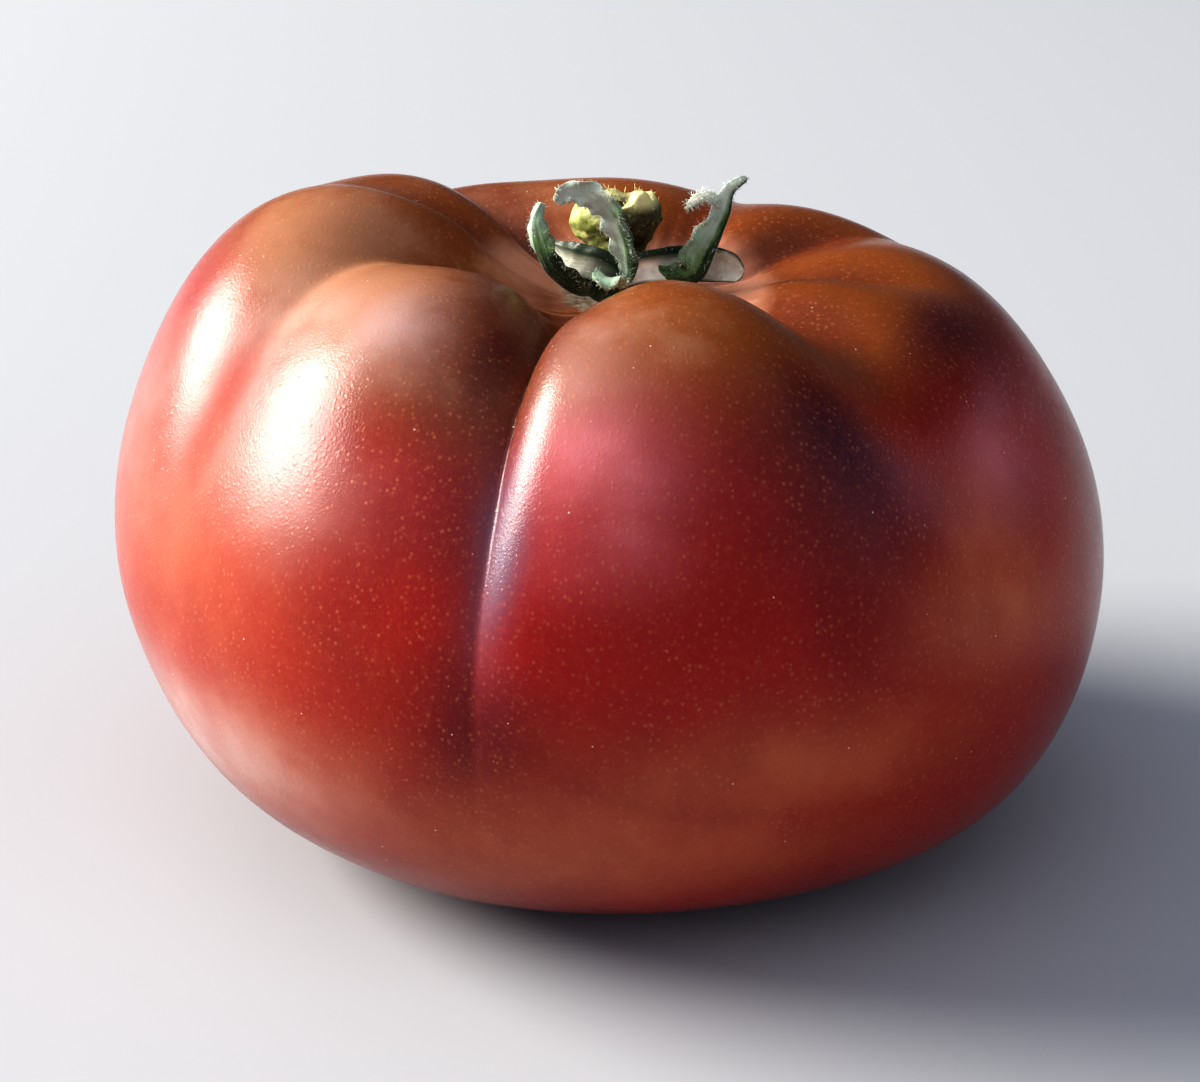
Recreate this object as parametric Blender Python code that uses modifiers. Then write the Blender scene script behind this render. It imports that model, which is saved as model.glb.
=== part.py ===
# Black Prince tomato as picked: the fruit on its flat spot, its calyx and the stub of its stalk.
# Metres, +Z up. Every length below is in millimetres and goes through MM. Azimuths are degrees
# from the front (-Y), positive towards +X.

import math

import bmesh
import bpy
from mathutils import Vector

MM = 0.001

# The fruit's section from the middle of the stem basin, over the shoulder, to the base:
# (radius, height) of the points that pull the curve.
SECTION = [
    (0.0, 46.4), (4.2, 46.5), (7.4, 48.6), (11.8, 52.1), (17.2, 54.6), (24.1, 54.9), (31.6, 51.6),
    (38.3, 43.8), (42.4, 33.7), (42.6, 23.4), (39.1, 12.4), (31.9, 3.9), (22.0, 0.6), (13.0, 0.0),
    (0.0, 0.0),
]
DEPTH_RATIO = 0.95          # front to back over side to side
FRUIT_AXIS = (1.1, 0.65)    # so that the fruit is centred on the origin
BASIN_SHIFT = (0.6, 0.5)    # the stem basin sits this far off the fruit's own axis
FLAT_TRIM = 0.15            # everything this low is flat: the spot it rests on
MERIDIANS = 116
RINGS = 44

# Each lobe: azimuth, half width, lift of its crest, swell of its waist, swell of its underside.
LOBES = {
    "front": (10, 26, -0.6, 1.1, 0.4),
    "front right": (60, 24, -0.3, -3.9, 1.5),
    "right": (103, 20, -2.6, -1.0, 0.5),
    "back right": (140, 20, -0.7, -1.9, 0.0),
    "back": (-176, 24, -1.6, -0.8, 0.0),
    "back left": (-128, 24, 0.2, 1.6, 0.2),
    "left": (-86, 20, 3.2, 1.0, 1.6),
    "front left": (-42, 26, 1.5, 0.2, 1.2),
}

# Each furrow: azimuth at the shoulder and how far it has turned by the waist, depth, width of
# its left and right walls, how far down the section it reaches, and how sharp its bottom is.
DEEP_FURROW = -18.0
FURROWS = {
    "front": (DEEP_FURROW, 2.0, 8.4, 18, 5, 0.72, 1.25),
    "front brim": (-10.0, 0.0, 1.5, 8, 11, 0.46, 1.8),
    "front right": (43.0, -8.0, 4.0, 19, 19, 0.58, 1.8),
    "right": (86.0, 0.0, 2.6, 14, 14, 0.46, 1.3),
    "back right": (123.0, 0.0, 3.4, 14, 14, 0.50, 1.3),
    "back": (155.6, 0.0, 2.5, 15, 15, 0.55, 1.5),
    "back left": (-141.7, 0.0, 5.3, 14, 14, 0.55, 1.4),
    "left": (-103.6, 0.0, 2.2, 12, 12, 0.46, 1.5),
    "front left": (-66.0, 9.0, 5.2, 16, 15, 0.68, 1.5),
}
FURROW_START = (0.07, 0.20)  # share of the section over which the furrows open out of the basin
FURROW_TURN = (0.30, 0.52)   # over which they turn
FURROW_FADE = 0.28           # and where they start to run out

GAP = 0.3                    # left between pieces that touch
HUB = (0.4, 1.3)
HUB_BOTTOM = 46.9
HUB_TOP = 50.2
HUB_RADIUS = 2.8
HUB_ROUND = 1.35             # its rounded ends are cut flat this much short of their poles
BLADE_THICKNESS = 0.7
BLADE_COLUMNS = 5

# Each sepal: middle line from the hub to the tip, direction its upper face looks in (and at the
# tip, where it is twisted), greatest width, the share of it left at the root, how blunt its end
# is, trough depth and edge wave over half width, rows along it.
SEPALS = {
    "left": {
        "line": [(0.2, 0.8, 48.6), (-2.6, -0.8, 48.2), (-5.1, -1.4, 50.1), (-6.3, -1.7, 52.5),
                 (-6.5, -1.6, 54.6), (-5.9, -1.2, 56.0)],
        "face": (0.5, 0.55, 0.65), "width": 3.4, "root": 0.55, "blunt": 0.25, "trough": 0.40,
        "wave": 0.10, "rows": 13,
    },
    "standing": {
        "line": [(0.5, 0.6, 48.9), (1.35, -2.2, 50.3), (1.1, -3.0, 52.6), (0.4, -3.2, 54.7),
                 (-0.6, -3.2, 56.4), (-2.2, -3.1, 57.4), (-3.7, -3.0, 57.4), (-4.6, -2.9, 56.4)],
        "face": (-0.75, -0.6, -0.25), "end face": (-0.2, -0.9, -0.1), "width": 2.7,
        "root": 0.30, "blunt": 0.45, "trough": 0.30, "wave": 0.14, "rows": 18,
    },
    "right": {
        "line": [(0.8, 0.9, 48.9), (4.0, -0.2, 48.5), (7.0, -0.6, 49.2), (8.3, -0.6, 51.6),
                 (9.3, -0.5, 54.0), (10.0, -0.4, 56.8), (11.2, -0.5, 57.9)],
        "face": (-0.6, 0.7, 0.3), "width": 3.6, "root": 0.55, "blunt": 0.18, "trough": 0.75,
        "wave": 0.08, "rows": 16,
    },
    "side lobe of right": {
        "line": [(9.2, -0.5, 55.4), (8.2, -0.6, 56.3), (7.1, -0.65, 56.2), (6.2, -0.7, 55.4)],
        "face": (0.0, -0.8, 0.6), "width": 0.9, "root": 0.9, "blunt": 0.6, "trough": 0.1,
        "wave": 0.0, "rows": 8,
    },
    "back left": {
        "line": [(0.9, -0.4, 49.2), (-1.1, -1.4, 50.6), (-3.3, 0.3, 50.6), (-4.8, 2.5, 50.8),
                 (-6.3, 4.6, 51.8)],
        "face": (-0.5, -0.75, 0.45), "width": 3.0, "root": 0.70, "blunt": 0.20, "trough": 0.25,
        "wave": 0.08, "rows": 13,
    },
    "back right": {
        "line": [(0.2, -0.4, 48.9), (1.9, -1.2, 50.1), (4.2, 0.5, 49.9), (6.0, 1.8, 49.7),
                 (8.2, 1.9, 49.6), (9.8, 1.1, 49.4), (11.0, 0.0, 49.1)],
        "face": (0.05, -0.9, 0.45), "width": 3.1, "root": 0.60, "blunt": 0.85, "trough": 0.50,
        "wave": 0.05, "rows": 18,
    },
    "front": {
        "line": [(0.4, 0.4, 48.7), (0.0, -2.2, 49.2), (-0.4, -4.3, 50.1), (-0.6, -5.8, 50.0)],
        "face": (0.1, -0.2, 1.0), "width": 3.0, "root": 0.55, "blunt": 0.45, "trough": 0.35,
        "wave": 0.22, "rows": 10,
    },
    "back": {
        "line": [(0.6, 1.8, 48.6), (1.2, 5.2, 49.6), (1.9, 7.6, 50.9), (2.2, 9.4, 52.1),
                 (2.0, 10.6, 53.1)],
        "face": (0.0, -0.5, 1.0), "width": 2.9, "root": 0.55, "blunt": 0.18, "trough": 0.30,
        "wave": 0.10, "rows": 13,
    },
}

STALK_AXIS = (0.35, 2.1)
STALK_BOTTOM = HUB_TOP + GAP
STALK_TOP = 55.3
STALK_FOOT_RADIUS = 2.4
STALK_HEAD_RADIUS = 3.2
STALK_SIDES = 28
STALK_RINGS = 18
# Knobs on the stub's torn head: azimuth, height, spread in degrees and in height, push outwards.
STALK_KNOBS = [
    (-85, 53.4, 38, 1.5, 0.9),
    (75, 54.0, 42, 1.7, 0.8),
    (150, 52.8, 40, 1.4, 0.5),
]
# Torn peaks round the head: azimuth, spread in degrees, extra height.
STALK_PEAKS = [(48, 20, 1.3), (100, 22, 0.5), (-70, 26, 0.3), (-150, 24, 0.2)]


def smoothstep(low, high, value):
    share = min(max((value - low) / (high - low), 0.0), 1.0)
    return share * share * (3 - 2 * share)


def turn_between(first, second):
    return (first - second + 180) % 360 - 180


def section_point(share):
    # Place and direction on the section at this share of it, as an even cubic B-spline that is
    # mirrored across the axis at both ends, so that the fruit is smooth over both poles.
    before = (-SECTION[1][0], SECTION[1][1])
    after = (-SECTION[-2][0], SECTION[-2][1])
    pulls = [before] + SECTION + [after]
    spans = len(SECTION) - 1
    span = min(int(share * spans), spans - 1)
    t = share * spans - span
    weights = ((1 - t) ** 3, 3 * t**3 - 6 * t**2 + 4, -3 * t**3 + 3 * t**2 + 3 * t + 1, t**3)
    slopes = (-((1 - t) ** 2), 3 * t**2 - 4 * t, -3 * t**2 + 2 * t + 1, t**2)
    near = pulls[span:span + 4]
    place = [sum(w * p[i] for w, p in zip(weights, near)) / 6 for i in (0, 1)]
    way = [sum(s * p[i] for s, p in zip(slopes, near)) for i in (0, 1)]
    size = math.hypot(*way)
    return place, (way[0] / size, way[1] / size)


def lobe_values(azimuth):
    # Lift, waist swell and underside swell here, blended between the lobes.
    total = 0.0
    sums = [0.0, 0.0, 0.0]
    for at, half_width, *values in LOBES.values():
        weight = math.exp(-((turn_between(azimuth, at) / half_width) ** 2))
        total += weight
        sums = [s + weight * v for s, v in zip(sums, values)]
    return [s / total for s in sums]


def furrow_depth(azimuth, share):
    depth = 0.0
    for at, lean, deepest, left, right, reach, sharpness in FURROWS.values():
        turn = turn_between(azimuth, at + lean * smoothstep(*FURROW_TURN, share))
        width = right if turn > 0 else left
        across = math.exp(-((abs(turn) / width) ** sharpness))
        along = smoothstep(*FURROW_START, share) * (1 - smoothstep(FURROW_FADE, reach, share))
        depth += deepest * across * along
    return depth


def fruit_point(azimuth, share):
    (radius, height), (out, up) = section_point(share)
    lift, waist, underside = lobe_values(azimuth)
    push = waist * smoothstep(0.15, 0.40, share) * (1 - smoothstep(0.50, 0.75, share))
    push += underside * smoothstep(0.50, 0.65, share) * (1 - smoothstep(0.72, 0.84, share))
    push -= furrow_depth(azimuth, share)
    radius -= push * up
    height += push * out
    height += lift * smoothstep(0.08, 0.25, share) * smoothstep(20, 50, height)
    basin = 1 - smoothstep(0.0, 0.5, share)
    turn = math.radians(azimuth)
    x = radius * math.sin(turn) + BASIN_SHIFT[0] * basin + FRUIT_AXIS[0]
    y = -radius * math.cos(turn) * DEPTH_RATIO + BASIN_SHIFT[1] * basin + FRUIT_AXIS[1]
    return Vector((x, y, max(height - FLAT_TRIM, 0.0))) * MM


def crowded(azimuth):
    # Draws the meridians closer together round the deep furrow.
    off = turn_between(azimuth, DEEP_FURROW)
    return azimuth - 0.55 * off * math.exp(-((off / 30) ** 2))


def finish_object(name, bm, material, collection):
    bmesh.ops.recalc_face_normals(bm, faces=bm.faces)
    mesh = bpy.data.meshes.new(name)
    bm.to_mesh(mesh)
    bm.free()
    mesh.materials.append(material)
    obj = bpy.data.objects.new(name, mesh)
    collection.objects.link(obj)
    return obj


def plain_material(name, colour, roughness):
    material = bpy.data.materials.new(name)
    material.use_nodes = True
    shader = material.node_tree.nodes["Principled BSDF"]
    shader.inputs["Base Color"].default_value = (*colour, 1.0)
    shader.inputs["Roughness"].default_value = roughness
    shader.inputs["Metallic"].default_value = 0.0
    return material


def make_fruit(material, collection):
    bm = bmesh.new()
    bmesh.ops.create_uvsphere(bm, u_segments=MERIDIANS, v_segments=RINGS, radius=1.0)
    for vert in bm.verts:
        azimuth = math.degrees(math.atan2(vert.co.x, -vert.co.y))
        share = math.acos(min(max(vert.co.z, -1.0), 1.0)) / math.pi
        vert.co = fruit_point(crowded(azimuth), share)
    flat = [face for face in bm.faces if all(vert.co.z == 0.0 for vert in face.verts)]
    bmesh.ops.dissolve_faces(bm, faces=flat, use_verts=True)
    fruit = finish_object("fruit", bm, material, collection)
    fruit.data.shade_smooth()
    return fruit


def curve_through(points, share):
    # Place and direction at this share of a smooth line through the points.
    spans = len(points) - 1
    span = min(int(share * spans), spans - 1)
    t = share * spans - span
    a = points[max(span - 1, 0)]
    b, c = points[span], points[span + 1]
    d = points[min(span + 2, spans)]
    place = 0.5 * (2 * b + (c - a) * t + (2 * a - 5 * b + 4 * c - d) * t**2
                   + (3 * b - a - 3 * c + d) * t**3)
    way = 0.5 * ((c - a) + 2 * (2 * a - 5 * b + 4 * c - d) * t
                 + 3 * (3 * b - a - 3 * c + d) * t**2)
    return place, way.normalized()


def sepal_half_width(width, at_root, blunt, share):
    # Narrow at the root, widest before the middle, drawn in to its end.
    root = at_root + (1 - at_root) * math.sin(min(share / 0.45, 1.0) * math.pi / 2)
    end = 1 - (1 - blunt) * smoothstep(0.40 + 0.4 * blunt, 1.0, share)
    rounded = 1 - 0.5 * blunt * smoothstep(0.85, 1.0, share)
    return 0.5 * width * root * end * rounded


def make_sepal(name, form, material, collection):
    line = [Vector(point) for point in form["line"]]
    face = Vector(form["face"]).normalized()
    end_face = Vector(form.get("end face", form["face"])).normalized()
    bm = bmesh.new()
    bmesh.ops.create_grid(bm, x_segments=BLADE_COLUMNS - 1, y_segments=form["rows"], size=1.0)
    for vert in bm.verts:
        across = vert.co.x
        share = (vert.co.y + 1) / 2
        place, way = curve_through(line, share)
        side = way.cross(face.lerp(end_face, share)).normalized()
        normal = side.cross(way).normalized()
        half = sepal_half_width(form["width"], form["root"], form["blunt"], share)
        wave = form["wave"] * math.sin(share * 13 + 2.1 * across) * abs(across)
        rise = form["trough"] * abs(across) ** 1.5 + wave
        vert.co = (place + side * across * half + normal * rise * half) * MM
    bmesh.ops.triangulate(bm, faces=bm.faces)
    sepal = finish_object("sepal " + name, bm, material, collection)
    solidify = sepal.modifiers.new("Thickness", "SOLIDIFY")
    solidify.thickness = BLADE_THICKNESS * MM
    solidify.offset = 0.0
    return sepal


def make_calyx(material, collection, helpers):
    bm = bmesh.new()
    bmesh.ops.create_uvsphere(bm, u_segments=20, v_segments=12, radius=1.0)
    middle = (HUB_TOP + HUB_BOTTOM) / 2
    half_height = (HUB_TOP - HUB_BOTTOM) / 2
    for vert in bm.verts:
        around = math.atan2(vert.co.y, vert.co.x)
        radius = HUB_RADIUS * (1 + 0.08 * math.cos(7 * around))
        height = min(middle + HUB_ROUND * half_height * vert.co.z, HUB_TOP)
        vert.co = Vector((HUB[0] + radius * vert.co.x, HUB[1] + radius * vert.co.y,
                          max(height, HUB_BOTTOM))) * MM
    calyx = finish_object("calyx", bm, material, collection)
    for name, form in SEPALS.items():
        make_sepal(name, form, material, helpers)
    union = calyx.modifiers.new("Sepals", "BOOLEAN")
    union.operation = "UNION"
    union.operand_type = "COLLECTION"
    union.collection = helpers
    union.solver = "MANIFOLD"
    graph = bpy.context.evaluated_depsgraph_get()
    joined = bpy.data.meshes.new_from_object(calyx.evaluated_get(graph))
    calyx.modifiers.clear()
    calyx.data = joined
    for sepal in list(helpers.objects):
        bpy.data.objects.remove(sepal)
    calyx.data.shade_smooth()
    calyx.data.set_sharp_from_angle(angle=math.radians(50))
    return calyx


def stalk_point(azimuth, share):
    # The stub: a narrow foot that flares into a torn, knobbly head with a sunken middle.
    side_end = 0.72
    peak = sum(extra * math.exp(-((turn_between(azimuth, at) / spread) ** 2))
               for at, spread, extra in STALK_PEAKS)
    rim = STALK_TOP + peak
    if share < 0.16:
        radius = STALK_FOOT_RADIUS * share / 0.16
        height = STALK_BOTTOM
    elif share < side_end:
        climb = (share - 0.16) / (side_end - 0.16)
        flare = smoothstep(0.05, 0.75, climb) - 0.35 * smoothstep(0.75, 1.0, climb)
        radius = STALK_FOOT_RADIUS + (STALK_HEAD_RADIUS - STALK_FOOT_RADIUS) * flare
        height = STALK_BOTTOM + (rim - STALK_BOTTOM) * climb
    else:
        inward = (share - side_end) / (1 - side_end)
        radius = (STALK_FOOT_RADIUS + 0.65 * (STALK_HEAD_RADIUS - STALK_FOOT_RADIUS)) * (1 - inward)
        middle = STALK_TOP - 0.9
        height = rim + (middle - rim) * smoothstep(0.15, 1.0, inward)
    for at, level, spread, tall, push in STALK_KNOBS:
        across = math.exp(-((turn_between(azimuth, at) / spread) ** 2))
        radius += push * across * math.exp(-(((height - level) / tall) ** 2)) * min(radius, 1.0)
    turn = math.radians(azimuth)
    x = STALK_AXIS[0] + radius * math.sin(turn)
    y = STALK_AXIS[1] - radius * math.cos(turn)
    return Vector((x, y, height)) * MM


def make_stalk(material, collection):
    bm = bmesh.new()
    bmesh.ops.create_uvsphere(bm, u_segments=STALK_SIDES, v_segments=STALK_RINGS, radius=1.0)
    for vert in bm.verts:
        azimuth = math.degrees(math.atan2(vert.co.x, -vert.co.y))
        share = 1 - math.acos(min(max(vert.co.z, -1.0), 1.0)) / math.pi
        vert.co = stalk_point(azimuth, share)
    stalk = finish_object("pedicel", bm, material, collection)
    stalk.data.shade_smooth()
    return stalk


def new_collection(name):
    collection = bpy.data.collections.new(name)
    bpy.context.scene.collection.children.link(collection)
    return collection


def main():
    for obj in list(bpy.data.objects):
        bpy.data.objects.remove(obj)
    tomato = new_collection("Black Prince tomato")
    helpers = new_collection("Sepals to join")
    skin = plain_material("Tomato skin", (0.19, 0.025, 0.012), 0.25)
    green = plain_material("Sepal green", (0.10, 0.17, 0.07), 0.6)
    stem = plain_material("Stalk green", (0.30, 0.29, 0.07), 0.7)
    make_fruit(skin, tomato)
    make_calyx(green, tomato, helpers)
    make_stalk(stem, tomato)
    bpy.data.collections.remove(helpers)


main()
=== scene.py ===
import math
import random

import bmesh
import bpy
from mathutils import Matrix, Vector, noise


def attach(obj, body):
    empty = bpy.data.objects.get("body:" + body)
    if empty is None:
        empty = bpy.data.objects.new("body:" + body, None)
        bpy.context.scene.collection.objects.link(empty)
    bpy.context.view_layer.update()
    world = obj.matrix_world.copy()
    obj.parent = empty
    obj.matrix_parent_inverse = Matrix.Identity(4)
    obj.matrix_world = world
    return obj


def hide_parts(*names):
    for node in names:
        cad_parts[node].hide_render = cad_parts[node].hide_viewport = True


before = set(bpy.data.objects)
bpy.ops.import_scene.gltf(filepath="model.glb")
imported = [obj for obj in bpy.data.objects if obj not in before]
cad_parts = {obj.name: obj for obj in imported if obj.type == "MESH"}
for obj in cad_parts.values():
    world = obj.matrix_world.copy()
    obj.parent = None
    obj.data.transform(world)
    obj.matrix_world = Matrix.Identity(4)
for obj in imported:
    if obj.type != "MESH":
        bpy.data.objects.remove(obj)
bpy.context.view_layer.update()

mm = 0.001
random.seed(14)


# small tools for shapes

def easeBetween(low, high, value):
    share = min(max((value - low) / (high - low), 0.0), 1.0)
    return share * share * (3 - 2 * share)


def turnBetween(first, second):
    return (first - second + 180) % 360 - 180


def bumpAt(place, size, seed=0.0):
    # smooth noise from -1 to 1 with bumps about this many mm across
    return noise.noise(place * (1 / (size * mm)) + Vector((seed, seed * 1.7, -seed)))


def raiseBy(bm, relief):
    # push each vertex out along its normal
    bm.normal_update()
    for vert, rise in zip(bm.verts, relief):
        vert.co += vert.normal * rise


def paintMarks(mesh, marks):
    # one value a vertex under each name, for the materials to read
    for name, values in marks.items():
        mesh.attributes.new(name, "FLOAT", "POINT").data.foreach_set("value", values)


def newBall(columns, rings):
    # a ball of radius 1 with its faces sorted from the top down and then round, because
    # Blender gives a new ball's faces in another order in each run
    def placeOf(face):
        middle = face.calc_center_median().normalized()
        return 10 * math.floor(math.acos(middle.z) / math.pi * rings) + math.atan2(middle.y, middle.x)

    bm = bmesh.new()
    bmesh.ops.create_uvsphere(bm, u_segments=columns, v_segments=rings, radius=1.0)
    bm.faces.sort(key=placeOf)
    return bm


def finishPiece(name, bm, material, slotName, *nodes, marks=None):
    bmesh.ops.recalc_face_normals(bm, faces=bm.faces)
    mesh = bpy.data.meshes.new(name)
    bm.to_mesh(mesh)
    bm.free()
    paintMarks(mesh, marks or {})
    mesh.shade_smooth()
    mesh.materials.append(material)
    piece = bpy.data.objects.new(name, mesh)
    bpy.context.scene.collection.objects.link(piece)
    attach(piece, "root")
    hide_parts(*nodes)
    return piece


# small tools for materials

def newMaterial(name):
    material = bpy.data.materials.new(name)
    material.use_nodes = True
    return material, material.node_tree, material.node_tree.nodes["Principled BSDF"]


def addNode(tree, kind, settings=None, **inputs):
    # settings are the node's own choices, inputs are its sockets by name, _ for a space
    made = tree.nodes.new("ShaderNode" + kind)
    for key, value in (settings or {}).items():
        setattr(made, key, value)
    for key, value in inputs.items():
        socket = made.inputs[key.replace("_", " ")]
        if isinstance(value, bpy.types.NodeSocket):
            tree.links.new(value, socket)
        else:
            socket.default_value = value
    return made


def readMark(tree, name):
    # a value painted on the mesh when it was shaped
    return addNode(tree, "Attribute", {"attribute_name": name}).outputs["Fac"]


def calc(tree, operation, first, second=0.5):
    made = tree.nodes.new("ShaderNodeMath")
    made.operation = operation
    for socket, value in zip(made.inputs, (first, second)):
        if isinstance(value, bpy.types.NodeSocket):
            tree.links.new(value, socket)
        else:
            socket.default_value = value
    return made.outputs[0]


def spread(tree, value, low, high, toLow=0.0, toHigh=1.0):
    made = addNode(tree, "MapRange", {"interpolation_type": "SMOOTHSTEP"}, Value=value,
                   From_Min=low, From_Max=high, To_Min=toLow, To_Max=toHigh)
    return made.outputs["Result"]


def mixColour(tree, factor, first, second, blend="MIX"):
    made = tree.nodes.new("ShaderNodeMix")
    made.data_type = "RGBA"
    made.blend_type = blend
    for index, value in ((0, factor), (6, first), (7, second)):
        if isinstance(value, bpy.types.NodeSocket):
            tree.links.new(value, made.inputs[index])
        elif index:
            made.inputs[index].default_value = (*value, 1.0)
        else:
            made.inputs[index].default_value = value
    return made.outputs[2]


def grain(tree, coords, size, detail=3.0, roughness=0.55, distortion=0.0):
    # noise whose bumps are about this many mm across
    made = addNode(tree, "TexNoise", Vector=coords, Scale=1 / (size * mm), Detail=detail,
                   Roughness=roughness, Distortion=distortion)
    return made.outputs["Fac"]


def objectCoords(tree):
    return addNode(tree, "TexCoord").outputs["Object"]


# the fruit

fruitForm = {
    # (radius, height) of the points that pull the section's curve, from the basin to the base
    "section": [
        (0.0, 46.4), (4.2, 46.5), (7.4, 48.6), (11.8, 52.1), (17.2, 54.6), (24.1, 54.9),
        (31.6, 51.6), (38.3, 43.8), (42.4, 33.7), (42.6, 23.4), (39.1, 12.4), (31.9, 3.9),
        (22.0, 0.6), (13.0, 0.0), (0.0, 0.0),
    ],
    "depthRatio": 0.95,
    "axis": (1.1, 0.65),
    "basinShift": (0.6, 0.5),
    "flatTrim": 0.15,
    # azimuth, half width, lift of the crest, swell of the waist, swell of the underside
    "lobes": [
        (10, 26, -0.6, 1.1, 0.4),
        (60, 24, -0.3, -3.9, 1.5),
        (103, 20, -2.6, -1.0, 0.5),
        (140, 20, -0.7, -1.9, 0.0),
        (-176, 24, -1.6, -0.8, 0.0),
        (-128, 24, 0.2, 1.6, 0.2),
        (-86, 20, 2.9, 1.9, 1.6),
        (-42, 26, 1.9, 0.3, 1.2),
    ],
    # azimuth, turn by the waist, depth, width of left and right wall, reach, sharpness
    "furrows": [
        (-18.0, 2.0, 8.4, 21.5, 5, 0.72, 0.92),
        (-10.0, 0.0, 1.5, 8, 11, 0.46, 1.8),
        (43.0, -8.0, 4.0, 19, 19, 0.58, 1.8),
        (86.0, 0.0, 2.6, 14, 14, 0.46, 1.3),
        (123.0, 0.0, 3.4, 14, 14, 0.50, 1.3),
        (155.6, 0.0, 2.5, 15, 15, 0.55, 1.5),
        (-141.7, 0.0, 5.3, 14, 14, 0.55, 1.4),
        (-103.6, 0.0, 2.2, 12, 12, 0.46, 1.5),
        (-71.0, 9.4, 5.0, 17.6, 17.2, 0.71, 1.30),
    ],
    # shares of the way down over which a furrow opens, turns, and starts to fade
    "furrowStart": (0.07, 0.20),
    "furrowTurn": (0.30, 0.52),
    "furrowFade": 0.28,
    # shares over which a lobe's swells start and end, and over which its crest rises
    "waistFrom": (0.15, 0.40),
    "waistTo": (0.50, 0.75),
    "undersideFrom": (0.50, 0.65),
    "undersideTo": (0.72, 0.84),
    "crestRise": (0.08, 0.25),
    "crestHeight": (20, 50),   # heights between which the rise of a crest comes in
    "meridians": 400,
    "rings": 200,
    "crowding": (0.55, 30),    # how far meridians crowd round the front furrow, and how widely
    "swell": (0.10, 13),       # height and size of the soft unevenness of the skin
    "pleats": (0.045, 52),     # height and number of the fine pleats that run into the basin
    "cork": (0.16, 4.6),       # height and reach of the corky crust round the calyx
    "scar": 1.7,               # radius of the blossom scar underneath
    "shoulder": (0.40, 0.50),  # shares over which the brown of the shoulders ends
    "basinPaleAndLit": (0.14, 0.27),  # shares over which the pale tone of the basin ends, a tone that is partly painted sunlight on the basin walls
    "pleatFrom": (0.08, 0.13),
    "pleatTo": (0.16, 0.30),
    "fullFurrowShadeDepth": 3.5,         # depth at which a furrow's painted shade is at its darkest
    "sunlit": (-64, 26),       # azimuth and spread where the furrows face the sun and get no painted shade
    "shaded": (-45, 40, 0.75),  # azimuth and spread where the basin wall is turned from the light and is less pale, as painted shade, and how much
    # the dull line along the left furrow: half width in degrees, shares where it starts and ends
    "dullWidth": 4.5,
    "dullFrom": (0.28, 0.36),
    "dullTo": (0.54, 0.62),
    "levelNearFloor": (0.2, 1.5),  # heights between which the relief comes in above the floor
    # places of each tone: azimuth, share of the way down, spread in degrees and share, strength
    "zones": {
        "tan": [(-67, 0.37, 44, 0.12, 1.0), (0, 0.375, 22, 0.07, 0.50), (-150, 0.33, 40, 0.10, 0.6)],
        # painted highlight haze: pale pink round the key light's highlights and along lit edges
        "paintedHighlightHaze": [
            (-41, 0.410, 9, 0.045, 0.70), (-56, 0.440, 14, 0.050, 0.45), (-42, 0.53, 12, 0.032, 0.35),
            (-78, 0.540, 14, 0.070, 0.30), (-58, 0.685, 20, 0.035, 0.75), (-7, 0.420, 8, 0.045, 0.45),
            (178, 0.42, 20, 0.04, 0.4),
        ],
        "orange": [
            (-58, 0.575, 26, 0.080, 0.60), (-42, 0.68, 18, 0.050, 0.9), (-4, 0.700, 28, 0.045, 1.0),
            (18, 0.65, 24, 0.032, 0.8), (46, 0.575, 13, 0.055, 1.0), (2, 0.390, 24, 0.040, 0.7),
            (150, 0.60, 18, 0.05, 0.4), (-140, 0.62, 24, 0.05, 0.4),
        ],
        "vivid": [(-26, 0.500, 7, 0.055, 1.0), (-22, 0.560, 6, 0.035, 0.6), (0, 0.60, 20, 0.03, 0.4)],
        "mauve": [
            (-3, 0.480, 9, 0.036, 1.0), (56, 0.515, 10, 0.028, 0.4), (-2, 0.52, 7, 0.028, 0.5),
            (178, 0.46, 14, 0.030, 0.4),
        ],
        # dark plum tone, in part painted shade in the furrows and on the side away from the key light
        "plumAndPaintedShade": [
            (26, 0.475, 9, 0.055, 1.0), (70, 0.42, 20, 0.050, 0.9), (-24, 0.40, 7, 0.11, 0.75),
            (-35, 0.22, 22, 0.09, 0.6), (-17, 0.62, 5, 0.05, 0.5), (-28, 0.52, 6, 0.07, 0.35),
            (60, 0.375, 16, 0.05, 0.3), (110, 0.44, 16, 0.05, 0.6), (-112, 0.45, 14, 0.05, 0.5),
            (160, 0.48, 20, 0.08, 0.6), (-150, 0.50, 22, 0.09, 0.6),
        ],
        # painted reflection of the sky, blue-grey, on the right wall of the front furrow
        "paintedSkyReflection": [(-14.2, 0.530, 3.8, 0.050, 0.95), (29, 0.50, 5, 0.04, 0.12)],
    },
}


def sectionPoint(share):
    # an even cubic B-spline, mirrored across the axis so that both poles are smooth
    points = fruitForm["section"]
    pulls = [(-points[1][0], points[1][1])] + points + [(-points[-2][0], points[-2][1])]
    spans = len(points) - 1
    span = min(int(share * spans), spans - 1)
    t = share * spans - span
    weights = ((1 - t) ** 3, 3 * t**3 - 6 * t**2 + 4, -3 * t**3 + 3 * t**2 + 3 * t + 1, t**3)
    slopes = (-((1 - t) ** 2), 3 * t**2 - 4 * t, -3 * t**2 + 2 * t + 1, t**2)
    near = pulls[span:span + 4]
    place = [sum(w * p[i] for w, p in zip(weights, near)) / 6 for i in (0, 1)]
    way = [sum(s * p[i] for s, p in zip(slopes, near)) for i in (0, 1)]
    size = math.hypot(*way)
    return place, (way[0] / size, way[1] / size)


def lobeValues(azimuth):
    total = 0.0
    sums = [0.0, 0.0, 0.0]
    for at, halfWidth, *values in fruitForm["lobes"]:
        weight = math.exp(-((turnBetween(azimuth, at) / halfWidth) ** 2))
        total += weight
        sums = [s + weight * v for s, v in zip(sums, values)]
    return [s / total for s in sums]


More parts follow.
